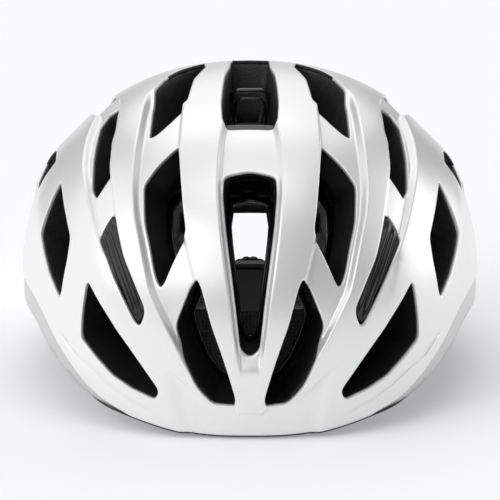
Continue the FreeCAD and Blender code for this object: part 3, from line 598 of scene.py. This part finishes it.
top_border = np.array(height_line(top_line, bearings))
lines = rib_lines(vent_loops + insert_loops + [top_border])
for loop in vent_loops + insert_loops:
    along = np.roll(loop, -1, axis=0) - np.roll(loop, 1, axis=0)
    turn = np.sum(loop[:, 0] * np.roll(loop[:, 1], -1) - loop[:, 1] * np.roll(loop[:, 0], -1))
    outside = np.stack([along[:, 1], -along[:, 0]], 1) * np.sign(turn)
    strip = loop + outside / np.linalg.norm(outside, axis=1)[:, None] * STRIP
    lines.append(np.concatenate([strip, strip[:1]]))
for rise in (0.55, 1.3):
    inner_line = np.array(height_line(lambda b: top_line(b) + rise, bearings))
    lines.append(np.concatenate([inner_line, inner_line[:1]]))
uv, triangles = triangulate(top_border, vent_loops + insert_loops, lines, 1.25)
LIP = [(0.02, 0.10), (0.08, 0.32), (0.13, 0.7), (0.14, 1.5)]
top_shell = skin("top_shell_moulding", uv, triangles, relief(uv), LIP, 0.9, WHITE_SHELL)
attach(top_shell, "helmet")
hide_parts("top_shell")

FIRST_BEARING = 26.0
crescent = np.arange(FIRST_BEARING, 360.1 - FIRST_BEARING, 0.6)
low_edge = height_line(lambda b: smooth_height(RIM, b) + EDGE_LIFT, crescent)
high_edge = height_line(lambda b: smooth_height(SPLIT, b) + 1.0, crescent)
low_border = np.array(low_edge + high_edge[::-1])
uv, triangles = triangulate(low_border, vent_loops, [], 1.5)
lower_shell = skin("lower_shell_moulding", uv, triangles, LOWER_INSET + relief(uv),
                   [(0.05, 0.15), (0.15, 0.5), (0.2, 1.2)], 0.6, SILVER_SHELL)
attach(lower_shell, "helmet")
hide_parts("lower_shell")


CEILING_LEAN = 7.0


def ceiling_rise(at, way):
    """How far back a front vent's upper wall leans on its way in, in degrees."""
    near_front = float(ramp((-20 - at[1]) / 12)) * float(ramp((60 - abs(at[0])) / 20))
    return CEILING_LEAN * max(0.0, -way[1]) * near_front


def foam_piece():
    """The bead foam: outer face under the shells, vent walls, hollow, and rim strip."""
    border = np.array(height_line(lambda b: smooth_height(RIM, b) + RIM_FOOT,
                                  np.arange(0, 360, 2.0)))
    holes = [rounded(o, VENT_CORNER, 0.8) for o in outlines]
    uv, triangles = triangulate(border, holes, [], 1.9)
    spot = on_dome(OUTER, uv, 0)
    bearing = np.degrees(np.arctan2(spot[:, 0], -(spot[:, 1] - CENTRE[1])))
    split = np.array([smooth_height(SPLIT, b) for b in bearing])
    depth = relief(uv, 1.7) + SHELL + 0.25 + 0.95 * (spot[:, 2] < split + 3)
    for loop in insert_loops:
        depth += 3.4 * inside(uv, loop)
    edges, outward = boundary(uv, triangles)
    at_rim = {i for i in outward
              if abs(spot[i, 2] - smooth_height(RIM, bearing[i]) - RIM_FOOT) < 0.6}
    count = len(uv)
    outer = on_dome(OUTER, uv, depth)
    hollow_uv = uv.copy()
    for i, way in outward.items():
        if i not in at_rim:
            hollow_uv[i] = uv[i] - way * 1.1 + np.array([0, ceiling_rise(uv[i], way)])
    inner = on_dome(HOLLOW, hollow_uv, 0)
    points = [outer, inner]
    faces = [tuple(t) for t in triangles]
    faces += [(count + t[2], count + t[1], count + t[0]) for t in triangles]
    total = 2 * count
    ids = sorted(outward)
    last = {i: i for i in ids}
    for share in (0.04, 0.12, 0.3, 0.55, 0.8):
        ring = []
        for i in ids:
            if i in at_rim:
                rim = smooth_height(RIM, bearing[i])
                inset, z = {0.04: (4.6, rim + RIM_FOOT), 0.12: (5.5, rim + RIM_FOOT),
                            0.3: (5.6, rim)}.get(share, (0, rim))
                if share < 0.5:
                    ring.append(plan_point(OUTER, inset, bearing[i], z))
                else:
                    ring.append(plan_point(HOLLOW, 0, bearing[i], rim + (share - 0.55) * 6))
                continue
            way = uv[i] + outward[i] * (0.1 - 1.2 * share)
            way = way + np.array([0, share * ceiling_rise(uv[i], outward[i])])
            near, far = on_dome(OUTER, way, depth[i])[0], on_dome(HOLLOW, way, 0)[0]
            ring.append(near * (1 - share) + far * share)
        points.append(np.array(ring))
        numbered = {i: total + k for k, i in enumerate(ids)}
        total += len(ids)
        faces += [(last[b], last[a], numbered[a], numbered[b]) for a, b in edges]
        last = numbered
    faces += [(last[b], last[a], count + a, count + b) for a, b in edges]
    return new_mesh("foam_liner_beads", np.concatenate(points), faces, FOAM)


foam = foam_piece()
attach(foam, "helmet")
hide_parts("foam_liner")


def insert_piece(name, outline):
    """Fluted panel with rounded ends, sunk a little in its opening."""
    loop = rounded(outline, INSERT_CORNER, 0.35)
    middle = loop.mean(0)
    loop = middle + (loop - middle) * 0.93
    uv, triangles = triangulate(loop, [], [], 0.26)
    axis = np.array([np.sign(middle[0]) * -0.25, -0.97])
    across = (uv - middle) @ np.array([axis[1], -axis[0]])
    along = (uv - middle) @ axis
    width = 3.4 - 0.05 * np.abs(along)
    flute = np.cos(np.clip(np.abs(across) / width, 0, 1) * 3 * np.pi)
    depth = 1.3 + 0.55 * flute * ramp((11.5 - np.abs(along)) / 3)
    return skin(name, uv, triangles, depth, [(0.05, 0.2), (0.12, 0.6), (0.15, 2.4)], 1.8, FLUTED)


for side, outline in (("right", INSERT), ("left", mirrored(INSERT))):
    piece = insert_piece("vent_insert_" + side + "_fluted", outline)
    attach(piece, "helmet")
    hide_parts("vent_insert_" + side)


# ---------------------------------------------------------------- small mouldings
def tube(path, radius, closed, sides=8):
    """Points and faces of a round bead along a path."""
    path = [np.array(p, float) for p in path]
    n = len(path)
    points, faces = [], []
    for i, at in enumerate(path):
        before = path[i - 1] if closed or i else at
        after = path[(i + 1) % n] if closed or i < n - 1 else at
        ahead = (after - before) / max(np.linalg.norm(after - before), 1e-9)
        side = np.cross(ahead, (0.3, 0.5, 0.81))
        side = side / max(np.linalg.norm(side), 1e-9)
        up = np.cross(ahead, side)
        for k in range(sides):
            a = 2 * math.pi * k / sides
            points.append(at + radius * (side * math.cos(a) + up * math.sin(a)))
    for i in range(n if closed else n - 1):
        for k in range(sides):
            a, b = i * sides + k, i * sides + (k + 1) % sides
            c, d = (a + sides) % (n * sides), (b + sides) % (n * sides)
            faces.append((a, b, d, c))
    if not closed:
        faces.append(tuple(range(sides))[::-1])
        faces.append(tuple((n - 1) * sides + k for k in range(sides)))
    return points, faces


def joined(name, parts, material, body):
    points, faces = [], []
    for part_points, part_faces in parts:
        start = len(points)
        points += part_points
        faces += [tuple(start + i for i in face) for face in part_faces]
    piece = new_mesh(name, points, faces, material)
    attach(piece, body)
    return piece


def arch(half, foot, crest, y):
    """Upright arch with rounded shoulders, as a path from foot to foot."""
    turn = 0.55 * half
    shoulders = [(math.cos(a), math.sin(a)) for a in np.linspace(0, math.pi / 2, 9)]
    right = [(half - 0.12 * turn, foot)]
    right += [(half - turn + turn * c, crest - turn + turn * s) for c, s in shoulders]
    left = [(-x, z) for x, z in right[::-1]]
    return [np.array([x, y, z]) for x, z in right + left]


ARCH_FOOT = 108.5             # height of the arches' feet
rim_bearings = np.arange(0, 360, 1.0)
tucked = 0.95 + 2.4 * ramp((np.minimum(rim_bearings, 360 - rim_bearings) - 30) / 12)
rim_uv = np.array(height_line(lambda b: smooth_height(RIM, b) + 0.75, rim_bearings))
rim_path = on_dome(OUTER, rim_uv, relief(rim_uv) + tucked)
trim = joined("rim_trim_bead", [tube(rim_path, 0.75, True, 8)], TRIM, "helmet")
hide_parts("rim_trim")
arches = [tube(arch(9.6, ARCH_FOOT, 129.0, 5.0), 1.15, False, 12),
          tube(arch(7.0, ARCH_FOOT, 124.0, 11.0), 0.5, False)]
joined("crown_arches", arches, SLIP, "slip")
# The crown ledge's slate colour is painted light: it stands for the lit front edge of the foam seen
# in the crown vent
ledge_outline = [(-6.4, -39), (6.4, -39), (6.6, -35.6), (-6.6, -35.6)]
ledge_uv, ledge_triangles = triangulate(rounded(ledge_outline, 0.8, 0.5), [], [], 0.8)
ledge = skin("crown_ledge", ledge_uv, ledge_triangles, np.full(len(ledge_uv), 5.2),
             [(0.05, 0.15), (0.12, 0.5), (0.14, 2.6)], 2.0, PAINTED_LIT_LEDGE)
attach(ledge, "helmet")

front_outlines = [o for o in outlines if max(v for _, v in o) < 0]
edge_beads = []
for outline in front_outlines:
    loop = rounded(outline, VENT_CORNER, 1.2)
    edge_beads.append(tube(on_dome(HOLLOW, loop, LINER_DEPTH), 0.5, True, 6))
joined("liner_edge_beads", edge_beads, BEAD, "slip")


# ---------------------------------------------------------------- pads
def pillow(name, body, node, place, thick, count):
    """Sewn pad: a crowned face over a flat back, its edge pressed flat; place puts a point."""
    columns, rows = count
    points, grid = [], {}
    for j in range(rows + 1):
        for i in range(columns + 1):
            s, t = 2 * i / columns - 1, 2 * j / rows - 1
            squeeze_s, squeeze_t = s * (1 - 0.10 * t ** 4), t * (1 - 0.05 * s ** 4)
            crown = ((1 - abs(s) ** 8) * (1 - abs(t) ** 4)) ** 0.55
            binding = 1 - 0.35 * math.exp(-((1 - max(abs(s), abs(t))) / 0.10 - 1.2) ** 2)
            grid[i, j, 1] = len(points)
            points.append(place(squeeze_s, squeeze_t, thick * (0.12 + 0.88 * crown * binding)))
            grid[i, j, 0] = len(points)
            points.append(place(squeeze_s, squeeze_t, 0.0))
    faces = []
    for j in range(rows):
        for i in range(columns):
            for level in (0, 1):
                face = [grid[i, j, level], grid[i + 1, j, level],
                        grid[i + 1, j + 1, level], grid[i, j + 1, level]]
                faces.append(face if level else face[::-1])
    for i in range(columns):
        n = i + 1
        faces.append([grid[i, 0, 0], grid[n, 0, 0], grid[n, 0, 1], grid[i, 0, 1]])
        faces.append([grid[i, rows, 1], grid[n, rows, 1], grid[n, rows, 0], grid[i, rows, 0]])
    for j in range(rows):
        n, far = j + 1, columns
        faces.append([grid[0, j, 1], grid[0, n, 1], grid[0, n, 0], grid[0, j, 0]])
        faces.append([grid[far, j, 0], grid[far, n, 0], grid[far, n, 1], grid[far, j, 1]])
    piece = new_mesh(name, points, faces, KNIT)
    piece.modifiers.new("rounding", "SUBSURF").levels = 1
    piece.modifiers["rounding"].render_levels = 1
    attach(piece, body)
    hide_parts(node)
    return piece


def on_bearings(b0, b1, z0, z1):
    def place(s, t, h):
        b, z = (b0 + b1) / 2 + (b1 - b0) / 2 * s, (z0 + z1) / 2 + (z1 - z0) / 2 * t
        return plan_point(HOLLOW, PAD_BASE + h, b, z)
    return place


def on_chart(u0, u1, v0, v1):
    def place(s, t, h):
        at = [(u0 + u1) / 2 + (u1 - u0) / 2 * s, (v0 + v1) / 2 + (v1 - v0) / 2 * t]
        return on_dome(HOLLOW, at, PAD_BASE + h)[0]
    return place


def on_arc(a0, a1, z0, z1, radius):
    def place(s, t, h):
        a = math.radians((a0 + a1) / 2 + (a1 - a0) / 2 * s)
        z = (z0 + z1) / 2 + (z1 - z0) / 2 * t
        return np.array([(radius - h) * math.sin(a), RING_Y + (radius - h) * math.cos(a), z])
    return place


pillow("brow_pad_cushion", "slip", "brow_pad", on_bearings(-37, 37, 17, 51), PAD_THICK, (72, 28))
pillow("temple_pad_right_cushion", "slip", "temple_pad_right",
       on_bearings(-59, -39, 41, 60), PAD_THICK, (24, 18))
pillow("temple_pad_left_cushion", "slip", "temple_pad_left",
       on_bearings(39, 59, 41, 60), PAD_THICK, (24, 18))
pillow("top_pad_right_cushion", "slip", "top_pad_right",
       on_chart(-14, -9, -34, 19), PAD_THICK, (12, 60))
pillow("top_pad_left_cushion", "slip", "top_pad_left",
       on_chart(9, 14, -34, 19), PAD_THICK, (12, 60))
pillow("crown_pad_cushion", "slip", "crown_pad", on_chart(-15, 15, -49.5, -43), PAD_THICK, (40, 12))
pillow("cradle_pad_left_cushion", "cradle", "cradle_pad_left",
       on_arc(9, 41, 5, 23, CRADLE_PAD_RADIUS), CRADLE_PAD_THICK, (36, 18))
pillow("cradle_pad_right_cushion", "cradle", "cradle_pad_right",
       on_arc(-41, -9, 5, 23, CRADLE_PAD_RADIUS), CRADLE_PAD_THICK, (36, 18))
pillow("chin_pad_cushion", "helmet", "chin_pad",
       lambda s, t, h: np.array([-31 + 11 * s, -6 + 9.5 * t, 4.4 + h]), CHIN_PAD_THICK, (24, 20))


# ---------------------------------------------------------------- webbing
def smooth_route(route, steps=9):
    points = [np.array(p, float) for p in route]
    ends = [2 * points[0] - points[1]] + points + [2 * points[-1] - points[-2]]
    out = []
    for a, b, c, d in zip(ends, ends[1:], ends[2:], ends[3:]):
        for k in range(steps):
            t = k / steps
            out.append(0.5 * (2 * b + (c - a) * t + (2 * a - 5 * b + 4 * c - d) * t ** 2
                              + (3 * b - a - 3 * c + d) * t ** 3))
    return out + [points[-1]]


def ribbon(name, node, route, wide, thick, body="helmet"):
    """Flat webbing along a route, its edges thinner than its middle."""
    line = smooth_route(route)
    section = []
    for k in range(9):
        w = -1 + k / 4
        section.append((w, 1 - 0.55 * (abs(w) > 0.99)))
    section += [(w, -t) for w, t in reversed(section)]
    points, lay, faces = [], [], []
    travelled = 0.0
    for i, at in enumerate(line):
        ahead = line[min(i + 1, len(line) - 1)] - line[max(i - 1, 0)]
        ahead = ahead / np.linalg.norm(ahead)
        side = np.array([-ahead[1], ahead[0], 0])
        side = side / np.linalg.norm(side)
        up = np.cross(ahead, side)
        if i:
            travelled += np.linalg.norm(at - line[i - 1])
        for w, t in section:
            points.append(at + side * w * wide / 2 + up * t * thick / 2)
            lay.append((travelled, w * wide / 2, 0))
    n = len(section)
    for i in range(len(line) - 1):
        for k in range(n):
            a, b = i * n + k, i * n + (k + 1) % n
            faces.append((a, b, b + n, a + n))
    faces.append(tuple(range(n))[::-1])
    faces.append(tuple((len(line) - 1) * n + k for k in range(n)))
    piece = new_mesh(name, points, faces, WEBBING, lay)
    if node:
        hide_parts(node)
    if body:
        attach(piece, body)
    return piece


DIVIDER = np.array([58.0, -6.0, 3.4])
FRONT_WAY, REAR_WAY = np.array([0.431, -0.902, 0]), np.array([0.610, 0.793, 0])


def exit_at(bearing):
    z = smooth_height(RIM, bearing)
    at = (plan_point(OUTER, SHELL, bearing, z) + plan_point(HOLLOW, 0, bearing, z)) / 2
    return at - np.array([0, 0, 0.6])


front_route = [exit_at(58), (77, -46, 14), (70.5, -32, 4.6), DIVIDER + FRONT_WAY * 20,
               DIVIDER + FRONT_WAY * 12.2]
rear_route = [exit_at(112), (82, 26, 12), (74, 14.5, 4.6), DIVIDER + REAR_WAY * 19,
              DIVIDER + REAR_WAY * 12.2]
for side, sign in (("left", 1), ("right", -1)):
    turn = np.array([sign, 1, 1])
    ribbon("front_webbing_" + side, "front_strap_" + side,
           [np.array(p) * turn for p in front_route], STRAP_WIDE, STRAP_THICK)
    ribbon("rear_webbing_" + side, "rear_strap_" + side, [np.array(p) * turn for p in rear_route],
           STRAP_WIDE, STRAP_THICK)

BUCKLE_Y = -6
TAIL_Z = 10.65
left_route = [(x, BUCKLE_Y, z) for x, z in
              [(45.8, 3.4), (44, 3.4), (40, 7), (36.5, 8), (32, 4.6), (28, 2.9), (16.2, 2.9)]]
chin_left = ribbon("chin_webbing_left", "chin_strap_left", left_route, STRAP_WIDE, STRAP_THICK,
                   body=None)
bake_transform(chin_left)
right_route = [(x, BUCKLE_Y, z) for x, z in [(-45.8, 3.4), (-38, 3.2), (-16.2, 2.9)]]
ribbon("chin_webbing_right", "chin_strap_right", right_route, STRAP_WIDE, STRAP_THICK)
ribbon("webbing_tail", "strap_tail", [(5, BUCKLE_Y, TAIL_Z), (27, BUCKLE_Y, TAIL_Z)],
       TAIL_WIDE, STRAP_THICK, body="buckle_male")

# ---------------------------------------------------------------- finishes of the CAD nodes kept
FINISH = {
    "strap_anchors": FIT, "slip_studs": STUD, "slip_liner": SLIP, "hook_dots": HOOK,
    "dial_housing": FIT, "dial_cover": FIT, "detent_ring": FIT, "dial_knob": RUBBER,
    "dial_screw": STEEL, "pinion": FIT, "rack_left": FIT, "rack_right": FIT, "cradle_yoke": FIT,
    "arm_left": FIT, "arm_right": FIT, "temple_pin_left": FIT, "temple_pin_right": FIT,
    "hanger": FIT, "hanger_guides": FIT, "divider_left": BUCKLE, "divider_right": BUCKLE,
    "divider_lever_left": BUCKLE, "divider_lever_right": BUCKLE, "buckle_female": BUCKLE,
    "buckle_male": BUCKLE, "prong_front": BUCKLE, "prong_rear": BUCKLE, "strap_keeper": BUCKLE,
}
for node, finish in FINISH.items():
    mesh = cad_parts[node].data
    mesh.materials.clear()
    mesh.materials.append(finish)


# ---------------------------------------------------------------- floor, light and camera
def plane(name, half, z, material):
    corners = [(-half, -half, z), (half, -half, z), (half, half, z), (-half, half, z)]
    mesh = bpy.data.meshes.new(name)
    mesh.from_pydata(corners, [], [(0, 1, 2, 3)])
    mesh.materials.append(material)
    found = bpy.data.objects.new(name, mesh)
    bpy.context.scene.collection.objects.link(found)
    return found


FLOOR_HALF = 30               # metres
paper = shader("paper", (0.74, 0.745, 0.75), 0.9, Emission_Color=(0.975, 0.985, 1.0, 1),
               Emission_Strength=0.30)[0]
floor = plane("floor", FLOOR_HALF, 0.0, paper)

scene = bpy.context.scene
scene.view_settings.view_transform = "Standard"
world = bpy.data.worlds.new("studio")
scene.world = world
world.use_nodes = True
world.node_tree.nodes["Background"].inputs["Color"].default_value = (0.97, 0.985, 1.0, 1)
world.node_tree.nodes["Background"].inputs["Strength"].default_value = 0.14


def soft_light(name, toward, strength, spread):
    """Very large, far softbox: a sun lamp of wide angle that shines from a direction."""
    light = bpy.data.lights.new(name, "SUN")
    light.energy = strength
    light.angle = math.radians(spread)
    holder = bpy.data.objects.new(name, light)
    holder.rotation_euler = Vector(toward).to_track_quat("Z", "Y").to_euler()
    scene.collection.objects.link(holder)


soft_light("key", (-0.72, -0.42, 0.55), 0.74, 50)
soft_light("front", (-0.35, -0.75, 0.65), 0.58, 46)
soft_light("top", (-0.1, 0.3, 1.0), 0.50, 60)
soft_light("overhead", (0, -0.2, 1.0), 0.30, 40)
soft_light("left", (-0.9, 0.2, 0.35), 0.62, 60)
soft_light("right", (0.9, 0.25, 0.4), 0.40, 60)
soft_light("right_rear", (0.95, 0.5, 0.2), 0.62, 40)
soft_light("back", (0, 0.8, 0.6), 0.54, 50)

camera_data = bpy.data.cameras.new("camera")
camera_data.lens = 229.8
camera_data.sensor_width = 36
camera_data.clip_end = 100
camera = bpy.data.objects.new("camera", camera_data)
scene.collection.objects.link(camera)
target = Vector((0, -0.0025, 0.0543))
camera.location = (0, -1.4579, 0.4172)
camera.rotation_euler = (target - camera.location).to_track_quat("-Z", "Y").to_euler()
scene.camera = camera
